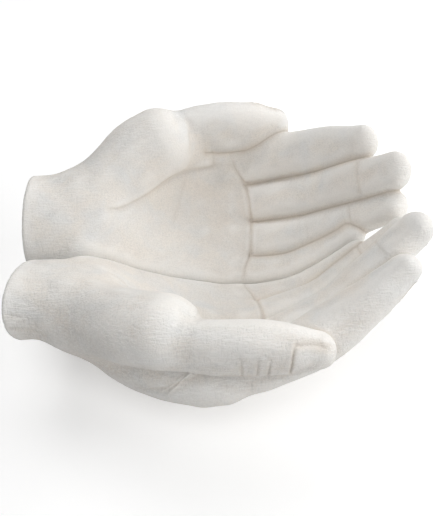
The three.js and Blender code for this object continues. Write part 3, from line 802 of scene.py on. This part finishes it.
def details(vertices):
    """Distance to the nearest pressed detail, the relief that it leaves, and its painted shade: beige beside
    grooves and under steps, dark along groove bottoms.
    """
    nearest = between_fingers(vertices)
    relief = (-BETWEEN_DEPTH * groove(nearest / BETWEEN_WIDTH)
              - HOLLOW_DEPTH * np.exp(-(nearest / HOLLOW_WIDTH) ** 2))
    # Painted shade near the line between two fingers: beige beside it, and dark along its bottom
    painted_shade = np.exp(-(nearest / BETWEEN_SHADE_REACH) ** 2)
    groove_shade = np.exp(-(nearest / BETWEEN_GROOVE_SHADE_REACH) ** 2)
    for spots, depths, width in lines:
        low, high = spots.min(axis=0) - LINE_ROOM * width, spots.max(axis=0) + LINE_ROOM * width
        some = np.flatnonzero(((vertices > low) & (vertices < high)).all(axis=1))
        if not len(some):
            continue
        apart, which = distance_to_line(vertices[some], spots)
        lip = LIP_SHARE * np.exp(-((apart - LIP_REACH * width) / (LIP_WIDTH * width)) ** 2)
        relief[some] += depths[which] * (lip - groove(apart / width))
        # Painted shade beside a pressed line, darker along its bottom and stronger where the line is deeper;
        # raised ridges get none
        strength = np.clip(depths[which], 0, 1)
        shaded = LINE_SHADE * strength * np.exp(-(apart / (LINE_SHADE_REACH * width)) ** 2)
        painted_shade[some] = np.maximum(painted_shade[some], shaded)
        dark = strength ** 2 * LINE_GROOVE_SHADE * np.exp(-(apart / (LINE_GROOVE_SHADE_REACH * width)) ** 2)
        groove_shade[some] = np.maximum(groove_shade[some], dark)
        nearest[some] = np.minimum(nearest[some], apart)
    for spots, depths, falls in steps:
        low, high = spots.min(axis=0) - STEP_ROOM, spots.max(axis=0) + STEP_ROOM
        some = np.flatnonzero(((vertices > low) & (vertices < high)).all(axis=1))
        if not len(some):
            continue
        apart, which = distance_to_line(vertices[some], spots)
        beyond = np.clip(0.5 + (vertices[some] - spots[which]) @ falls / STEP_EDGE, 0, 1)
        rise, drop = (np.exp(-(apart / reach) ** 2) for reach in STEP_REACH)
        relief[some] += depths[which] * (STEP_RISE * rise * (1 - beyond) - STEP_DROP * drop * beyond)
        # Beige painted shade on the low side of a step, under the form that overlaps
        shaded = depths[which] * STEP_SHADE * beyond * np.exp(-(apart / STEP_SHADE_REACH) ** 2)
        painted_shade[some] = np.maximum(painted_shade[some], shaded)
        nearest[some] = np.minimum(nearest[some], apart)
    for pit in web_pits:
        apart = np.linalg.norm(vertices - pit, axis=1)
        depth = np.exp(-(apart / PIT_RADIUS) ** 2)
        relief -= PIT_DEPTH * depth
        # A pit's bottom is darkened with painted shade
        groove_shade = np.maximum(groove_shade, depth)
        nearest = np.minimum(nearest, apart)
    for nail in nails:
        rim, reach = nail_edge(vertices, nail)
        free = np.clip((reach - FREE_END) / FREE_END_GROWS, 0, 1)
        plate = np.clip(-rim / NAIL_BEVEL, 0, 1)
        fold = np.exp(-(rim / FOLD_WIDTH) ** 2) * (1 - free)
        relief += NAIL_RISE * plate * (1 + free) - NAIL_FOLD * fold
        relief += FOLD_LIP * np.exp(-((rim - FOLD_LIP_REACH) / FOLD_LIP_WIDTH) ** 2) * (1 - free)
        # Painted shade in and round the fold at a nail's root
        painted_shade = np.maximum(painted_shade, FOLD_SHADE * np.exp(-(rim / FOLD_SHADE_REACH) ** 2) * (1 - free))
        groove_shade = np.maximum(groove_shade, FOLD_GROOVE_SHADE * fold)
        nearest = np.minimum(nearest, np.where(np.abs(rim) < NAIL_ROOM, np.abs(rim), FAR))
    return nearest, relief, painted_shade, groove_shade


def split_near(vertices, triangles, chosen):
    """Splits triangles among the chosen vertices into four, and the ones beside them to fit."""
    edges = np.sort(triangles[:, [0, 1, 1, 2, 2, 0]].reshape(-1, 2), axis=1)
    keys = edges[:, 0] * len(vertices) + edges[:, 1]
    split = (chosen[edges[:, 0]] & chosen[edges[:, 1]])
    unique = np.unique(keys[split])
    middles = np.where(split, len(vertices) + np.searchsorted(unique, keys), -1).reshape(-1, 3)
    pairs = np.array([unique // len(vertices), unique % len(vertices)])
    vertices = np.vstack([vertices, (vertices[pairs[0]] + vertices[pairs[1]]) / 2])
    count = (middles >= 0).sum(axis=1)
    kept = triangles[count == 0]
    a, b, c = triangles[count == 3].T
    ab, bc, ca = middles[count == 3].T
    four = np.array([[a, ab, ca], [ab, b, bc], [ca, bc, c], [ab, bc, ca]]).transpose(0, 2, 1).reshape(-1, 3)
    one, middle = triangles[count == 1], middles[count == 1]
    turn_by = (middle >= 0).argmax(axis=1)
    a, b, c = (one[np.arange(len(one)), (turn_by + corner) % 3] for corner in range(3))
    m = middle.max(axis=1)
    two = np.array([[a, m, c], [m, b, c]]).transpose(0, 2, 1).reshape(-1, 3)
    return vertices, np.concatenate([kept, four, two])


# The smooth skin is finer near the pressed details, in two steps
FINER_NEAR = (2.7, 1.1)
# Hand work leaves the skin a little uneven
UNEVEN_SEED = 7
UNEVEN_WAVES = 28
UNEVEN_LENGTHS = (9.0, 26.0)
UNEVEN_HEIGHT = 0.04
# Where a sawn face lies this deep under the hand's own skin, it has no details
SAWN_DEPTH = 1.0


def unevenness(vertices):
    draw = np.random.default_rng(UNEVEN_SEED)
    ways = unit(draw.normal(size=(UNEVEN_WAVES, 3)))
    waves = ways * 2 * np.pi / draw.uniform(*UNEVEN_LENGTHS, (UNEVEN_WAVES, 1))
    phases = draw.uniform(0, 2 * np.pi, UNEVEN_WAVES)
    return UNEVEN_HEIGHT * np.sin(vertices @ waves.T + phases).sum(axis=1) / math.sqrt(2)


def own_skin(vertices):
    """1 on the hand's own skin, and 0 on the sawn faces at the seam, the base and the wrist."""
    return np.clip(1 + (hand_distance(vertices.T)[0] + SKIN) / SAWN_DEPTH, 0, 1)


def casting_surface(side):
    """Vertices and triangles of one casting, as a left hand, with its details pressed in."""
    cut = WRIST_CUTS[side]
    values = trimmed(raw_values.ravel(), grid_points, cut).reshape(raw_values.shape)
    vertices, triangles = grid_surface(grid_axes, values)
    vertices = settle(vertices, triangles, cut, *FIRST_EVENING)
    for reach in FINER_NEAR:
        nearest = details(vertices)[0]
        vertices, triangles = split_near(vertices, triangles, nearest < reach)
        vertices = settle(vertices, triangles, cut, *FINER_EVENING)
    shift = (details(vertices)[1] + unevenness(vertices)) * own_skin(vertices)
    return vertices + normals_of(vertices, triangles) * shift[:, None], triangles


# Hands: the castings
# Both castings take dowels across the seam and pads under the base, in holes drilled after moulding.
HOLE_CLEARANCE = 0.3
HOLE_SIDES = 48
DRILLED_FROM_BELOW = 5.0


def add_mesh(name, vertices, faces, smooth=True):
    """A mesh object from points in the sculptor's millimetres."""
    mesh = bpy.data.meshes.new(name)
    mesh.from_pydata(((vertices + ORIGIN) * MM).tolist(), [], faces.tolist())
    mesh.polygons.foreach_set("use_smooth", np.full(len(mesh.polygons), smooth))
    mesh.update()
    thing = bpy.data.objects.new(name, mesh)
    scene.collection.objects.link(thing)
    return thing


def drum(low, high, axis, clearance, past=0.0):
    """A closed cylinder in a node's box along an axis, wider and longer by a clearance."""
    low, high = np.array(low) / MM - ORIGIN, np.array(high) / MM - ORIGIN
    u, v = (axis + 1) % 3, (axis + 2) % 3
    centre, radius = (low + high) / 2, (high[u] - low[u]) / 2 + clearance
    turns = np.arange(HOLE_SIDES) * 2 * np.pi / HOLE_SIDES
    rings = []
    for end in (low[axis] - clearance - past, high[axis] + clearance):
        ring = np.zeros((HOLE_SIDES, 3))
        ring[:, axis], ring[:, u], ring[:, v] = (end, centre[u] + radius * np.cos(turns),
                                                 centre[v] + radius * np.sin(turns))
        rings.append(ring)
    faces = [list(range(HOLE_SIDES))[::-1], list(range(HOLE_SIDES, 2 * HOLE_SIDES))]
    for i in range(HOLE_SIDES):
        j = (i + 1) % HOLE_SIDES
        faces.append([i, j, HOLE_SIDES + j, HOLE_SIDES + i])
    return np.vstack(rings), faces


def drill(casting, low, high, axis, past=0.0):
    """Cuts a hole for a node out of the casting."""
    points, faces = drum(low, high, axis, HOLE_CLEARANCE, past)
    mesh = bpy.data.meshes.new("drill")
    mesh.from_pydata(((points + ORIGIN) * MM).tolist(), [], faces)
    bit = bpy.data.objects.new("drill", mesh)
    scene.collection.objects.link(bit)
    cut = casting.modifiers.new("hole", "BOOLEAN")
    cut.operation = "DIFFERENCE"
    cut.solver = "MANIFOLD"
    cut.object = bit
    with bpy.context.temp_override(object=casting, active_object=casting):
        bpy.ops.object.modifier_apply(modifier=cut.name)
    bpy.data.objects.remove(bit)


castings = {}
for side, mirror in (("left", 1), ("right", -1)):
    skin, triangles = casting_surface(side)
    faces = triangles if mirror == 1 else triangles[:, ::-1]
    casting = add_mesh(f"{side}_hand_casting", skin * (1, mirror, 1), faces)
    for dowel in ("wrist_dowel", "knuckle_dowel"):
        drill(casting, *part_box(dowel), axis=1)
    for end in ("front", "back"):
        drill(casting, *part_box(f"{side}_{end}_pad"), axis=2, past=DRILLED_FROM_BELOW)
    castings[side] = casting
    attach(casting, "root")
    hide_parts(f"{side}_hand")


# Hands: the plaster finish
# The white resin was stippled with chalky paint and dry-brushed, so fine strokes run round the wrists.
# Edges that stand proud are painted paler, partly dry brushing and partly painted highlight, and creases,
# grooves, step sides and faces that look down get beige painted shade, darkest along groove bottoms.


def add_node(tree, kind, inputs=None, **settings):
    """A node with its settings made, and its inputs linked or set."""
    node = tree.nodes.new(kind)
    for key, value in settings.items():
        setattr(node, key, value)
    for name, value in (inputs or {}).items():
        if isinstance(value, bpy.types.NodeSocket):
            tree.links.new(value, node.inputs[name])
        else:
            node.inputs[name].default_value = value
    return node


def grain_group():
    """Node group: a mask of grain, drawn out by a number of grains per metre along each axis."""
    group = bpy.data.node_groups.new("hand-worked grain", "ShaderNodeTree")
    sockets = group.interface
    sockets.new_socket("Grains per metre", in_out="INPUT", socket_type="NodeSocketVector")
    for name, value in (("Detail", 3.0), ("Waviness", 0.3), ("Low", 0.35), ("High", 0.65)):
        socket = sockets.new_socket(name, in_out="INPUT", socket_type="NodeSocketFloat")
        socket.default_value = value
    sockets.new_socket("Mask", in_out="OUTPUT", socket_type="NodeSocketFloat")
    given = group.nodes.new("NodeGroupInput").outputs
    place = add_node(group, "ShaderNodeTexCoord").outputs["Object"]
    stretch = add_node(group, "ShaderNodeVectorMath", {0: place, 1: given["Grains per metre"]},
                       operation="MULTIPLY")
    noise = add_node(group, "ShaderNodeTexNoise", {"Vector": stretch.outputs[0], "Scale": 1.0,
                                                   "Detail": given["Detail"],
                                                   "Distortion": given["Waviness"]})
    spread = add_node(group, "ShaderNodeMapRange", {"Value": noise.outputs["Fac"], "From Min": given["Low"],
                                                    "From Max": given["High"]})
    result = group.nodes.new("NodeGroupOutput")
    group.links.new(spread.outputs["Result"], result.inputs["Mask"])
    return group


def grain(tree, per_metre, detail=3.0, waviness=0.3, low=0.35, high=0.65):
    node = tree.nodes.new("ShaderNodeGroup")
    node.node_tree = hand_grain
    for name, value in (("Grains per metre", per_metre), ("Detail", detail), ("Waviness", waviness),
                        ("Low", low), ("High", high)):
        node.inputs[name].default_value = value
    return node.outputs["Mask"]


def blended(tree, share, first, second):
    """Colour that goes from the first to the second by a share."""
    node = tree.nodes.new("ShaderNodeMix")
    node.data_type = "RGBA"
    for socket, value in ((node.inputs[0], share), (node.inputs[6], first), (node.inputs[7], second)):
        if isinstance(value, bpy.types.NodeSocket):
            tree.links.new(value, socket)
        else:
            socket.default_value = value
    return node.outputs[2]


def arithmetic(tree, operation, first, second):
    return add_node(tree, "ShaderNodeMath", {0: first, 1: second}, operation=operation).outputs[0]


hand_grain = grain_group()
CHALK = (0.825, 0.785, 0.73, 1)
COOL_CHALK = (0.765, 0.76, 0.745, 1)
WARM_CHALK = (0.82, 0.755, 0.685, 1)
# Paler paint of the dry-brushed strokes, also laid as a painted highlight on edges that stand proud
DRY_BRUSH_AND_HIGHLIGHT = (0.93, 0.915, 0.885, 1)
BARE_RESIN = (0.62, 0.60, 0.57, 1)
# Painted shade: beige in creases, below steps and on faces that look down, and dark along groove bottoms
BEIGE_SHADE = (0.66, 0.57, 0.47, 1)
DARK_GROOVE_SHADE = (0.27, 0.21, 0.16, 1)
# Grains per metre along each axis; the brush strokes run round the hands and along them
STROKES = (160, 900, 900)
COUNTER_STROKES = (900, 260, 260)
STIPPLE = (1200, 1200, 1200)
PATCHES = (42, 42, 55)
WARM_PATCHES = (24, 24, 24)
PLASTER_ROUGHNESS = 0.85
PLASTER_SHINE = 0.3
# Heights of the grain against that of the brush strokes
STIPPLE_HEIGHT = 0.4
COUNTER_HEIGHT = 0.6


def scaled(tree, mask, share):
    return arithmetic(tree, "MULTIPLY", mask, share)


def dress(tree, shader, colour, height, distance, strength):
    """Gives a finish its colour, and its grain's height as a bump of a distance in metres."""
    tree.links.new(colour, shader.inputs["Base Color"])
    bump = add_node(tree, "ShaderNodeBump", {"Height": height, "Distance": distance, "Strength": strength})
    tree.links.new(bump.outputs["Normal"], shader.inputs["Normal"])


def plaster_material():
    material, tree, shader = new_finish("chalky plaster", PLASTER_ROUGHNESS)
    shader.inputs["Specular IOR Level"].default_value = PLASTER_SHINE
    # Painted shade, beige and dark, a paler painted highlight on proud edges, and where brush strokes show
    painted_shade, groove_shade, edge, brushed = (add_node(tree, "ShaderNodeAttribute", attribute_name=name).outputs["Fac"]
                                 for name in ("painted_shade", "groove_shade", "edge", "brushed"))
    strokes = scaled(tree, grain(tree, STROKES, detail=2.0, waviness=0.6, low=0.45, high=0.68), brushed)
    counter = scaled(tree, grain(tree, COUNTER_STROKES, detail=2.0, waviness=0.8, low=0.5, high=0.7),
                     brushed)
    stipple = grain(tree, STIPPLE, detail=1.0, waviness=0.0, low=0.42, high=0.72)
    patches = grain(tree, PATCHES, detail=4.0, waviness=0.8, low=0.4, high=0.66)
    warm = grain(tree, WARM_PATCHES, detail=3.0, waviness=0.5, low=0.45, high=0.68)
    # Coats over the patchy chalk, with how much of each stays: paint, the paler proud edges (painted
    # highlight, partly dry brushing), and beige and dark painted shade
    coats = ((warm, 0.7, WARM_CHALK), (counter, 0.5, BARE_RESIN), (strokes, 0.6, DRY_BRUSH_AND_HIGHLIGHT),
             (stipple, 0.45, BARE_RESIN), (edge, 0.5, DRY_BRUSH_AND_HIGHLIGHT), (painted_shade, 0.45, BEIGE_SHADE),
             (groove_shade, 0.2, DARK_GROOVE_SHADE))
    colour = blended(tree, patches, CHALK, COOL_CHALK)
    for mask, share, paint in coats:
        colour = blended(tree, scaled(tree, mask, share), colour, paint)
    height = arithmetic(tree, "ADD", strokes, scaled(tree, stipple, STIPPLE_HEIGHT))
    height = arithmetic(tree, "SUBTRACT", height, scaled(tree, counter, COUNTER_HEIGHT))
    dress(tree, shader, colour, height, distance=0.0002, strength=0.8)
    return material


plaster = plaster_material()
# A painted highlight, partly dry brushing, catches what stands proud of the same skin evened out over a
# number of rounds
RELIEF_ROUNDS = 14
RELIEF_SCALE = 0.35
EDGE_STARTS = 0.3
# Faces that look down get beige painted shade, this strong where they look straight down
UNDERSIDE_SHADE = 0.45
# The brush strokes fade towards faces that look at this place, over the bowl
OVER_BOWL = np.array([25.0, 0.0, 110.0])
STROKES_FADE = 1.2
LEAST_STROKES = 0.3


def add_attribute(mesh, name, values):
    mesh.attributes.new(name, "FLOAT", "POINT").data.foreach_set("value", values.astype(np.float32))


for side, mirror in (("left", 1), ("right", -1)):
    mesh = castings[side].data
    places = np.zeros(3 * len(mesh.vertices))
    mesh.vertices.foreach_get("co", places)
    places = places.reshape(-1, 3) / MM - ORIGIN
    places *= (1, mirror, 1)
    mesh.calc_loop_triangles()
    corners = np.zeros(3 * len(mesh.loop_triangles), np.int32)
    mesh.loop_triangles.foreach_get("vertices", corners)
    triangles = corners.reshape(-1, 3)[:, ::mirror]
    smoothed = places
    for _ in range(RELIEF_ROUNDS):
        smoothed = neighbour_mean(triangles, smoothed)
    facing = normals_of(places, triangles)
    proud = ((places - smoothed) * facing).sum(axis=1) / RELIEF_SCALE
    _, _, painted_shade, groove_shade = details(places)
    # Proud places get the painted highlight
    add_attribute(mesh, "edge", np.clip(proud - EDGE_STARTS, 0, 1))
    # Painted shade from grooves, steps and nails, and on faces that look down
    add_attribute(mesh, "painted_shade", np.clip(np.maximum(painted_shade, -facing[:, 2] * UNDERSIDE_SHADE), 0, 1))
    add_attribute(mesh, "groove_shade", np.clip(groove_shade, 0, 1))
    towards_bowl = (facing * unit(OVER_BOWL - places)).sum(axis=1)
    add_attribute(mesh, "brushed", np.clip(1 - towards_bowl * STROKES_FADE, LEAST_STROKES, 1))
    mesh.materials.clear()
    mesh.materials.append(plaster)
    mesh.polygons.foreach_set("material_index", np.zeros(len(mesh.polygons), np.int32))


# Dowels
# Two beech pins line the castings up across the seam. They were cut from rod, with eased ends, and
# fluted so that glue can rise along them.
DOWEL_FLUTES = 16
FLUTE_DEPTH = 0.35
DOWEL_BEVEL = 1.0
DOWEL_END = 0.78
TURNED_SIDES = 96
BEECH = (0.58, 0.40, 0.24, 1)
BEECH_STREAK = (0.45, 0.29, 0.16, 1)
BEECH_FIBRES = (900, 60, 900)
BEECH_ROUGHNESS = 0.6


def beech_material():
    material, tree, shader = new_finish("beech", BEECH_ROUGHNESS)
    streaks = grain(tree, BEECH_FIBRES, detail=4.0, waviness=0.2)
    dress(tree, shader, blended(tree, streaks, BEECH, BEECH_STREAK), streaks, distance=0.0001, strength=0.5)
    return material


beech = beech_material()


def turned(low, high, axis, profile, flutes=0, flute_depth=0.0):
    """A closed turned piece in a box. The profile gives a share of the length and of the radius."""
    low, high = np.array(low) / MM - ORIGIN, np.array(high) / MM - ORIGIN
    u, v = (axis + 1) % 3, (axis + 2) % 3
    centre, radius = (low + high) / 2, (high[u] - low[u]) / 2
    sides = TURNED_SIDES
    turns = np.arange(sides) * 2 * np.pi / sides
    rim = radius - flute_depth * (0.5 - 0.5 * np.cos(turns * flutes))
    rings = []
    for share, width in profile:
        ring = np.zeros((sides, 3))
        ring[:, axis] = low[axis] + (high[axis] - low[axis]) * share
        ring[:, u] = centre[u] + rim * width * np.cos(turns)
        ring[:, v] = centre[v] + rim * width * np.sin(turns)
        rings.append(ring)
    faces = [list(range(sides))[::-1], [(len(rings) - 1) * sides + i for i in range(sides)]]
    for level in range(len(rings) - 1):
        for i in range(sides):
            j = (i + 1) % sides
            faces.append([level * sides + i, level * sides + j, (level + 1) * sides + j,
                          (level + 1) * sides + i])
    return np.vstack(rings), faces


def add_turned(name, node, points, faces, material):
    mesh = bpy.data.meshes.new(name)
    mesh.from_pydata(((points + ORIGIN) * MM).tolist(), [], faces)
    mesh.materials.append(material)
    piece = bpy.data.objects.new(name, mesh)
    scene.collection.objects.link(piece)
    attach(piece, "root")
    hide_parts(node)


for node in ("wrist_dowel", "knuckle_dowel"):
    low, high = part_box(node)
    ease = DOWEL_BEVEL * MM / (high[1] - low[1])
    profile = [(0, DOWEL_END), (ease, 1), (1 - ease, 1), (1, DOWEL_END)]
    points, faces = turned(low, high, 1, profile, DOWEL_FLUTES, FLUTE_DEPTH)
    add_turned(f"{node}_pin", node, points, faces, beech)


# Felt pads
# Four discs punched from pressed wool felt are glued into shallow recesses in the base. Punching
# leaves their lower rim slightly rounded, and the glue sits on the flat side.
FELT_LIGHT = (0.62, 0.58, 0.51, 1)
FELT_DARK = (0.47, 0.43, 0.37, 1)
FELT_FIBRES = (2600, 2600, 1200)
FELT_ROUGHNESS = 1.0
FELT_SHEEN = 0.4
# Shares of a pad's thickness from below, and of its radius
PAD_PROFILE = [(0, 0.86), (0.03, 0.93), (0.1, 0.975), (0.22, 1), (0.9, 1), (1, 0.985)]


def felt_material():
    material, tree, shader = new_finish("pressed wool felt", FELT_ROUGHNESS)
    shader.inputs["Sheen Weight"].default_value = FELT_SHEEN
    fibres = grain(tree, FELT_FIBRES, detail=4.0, waviness=1.5, low=0.3, high=0.7)
    dress(tree, shader, blended(tree, fibres, FELT_DARK, FELT_LIGHT), fibres, distance=0.0002, strength=0.8)
    return material


felt = felt_material()
for side in ("left", "right"):
    for end in ("front", "back"):
        node = f"{side}_{end}_pad"
        points, faces = turned(*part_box(node), 2, PAD_PROFILE)
        add_turned(f"{node}_felt", node, points, faces, felt)
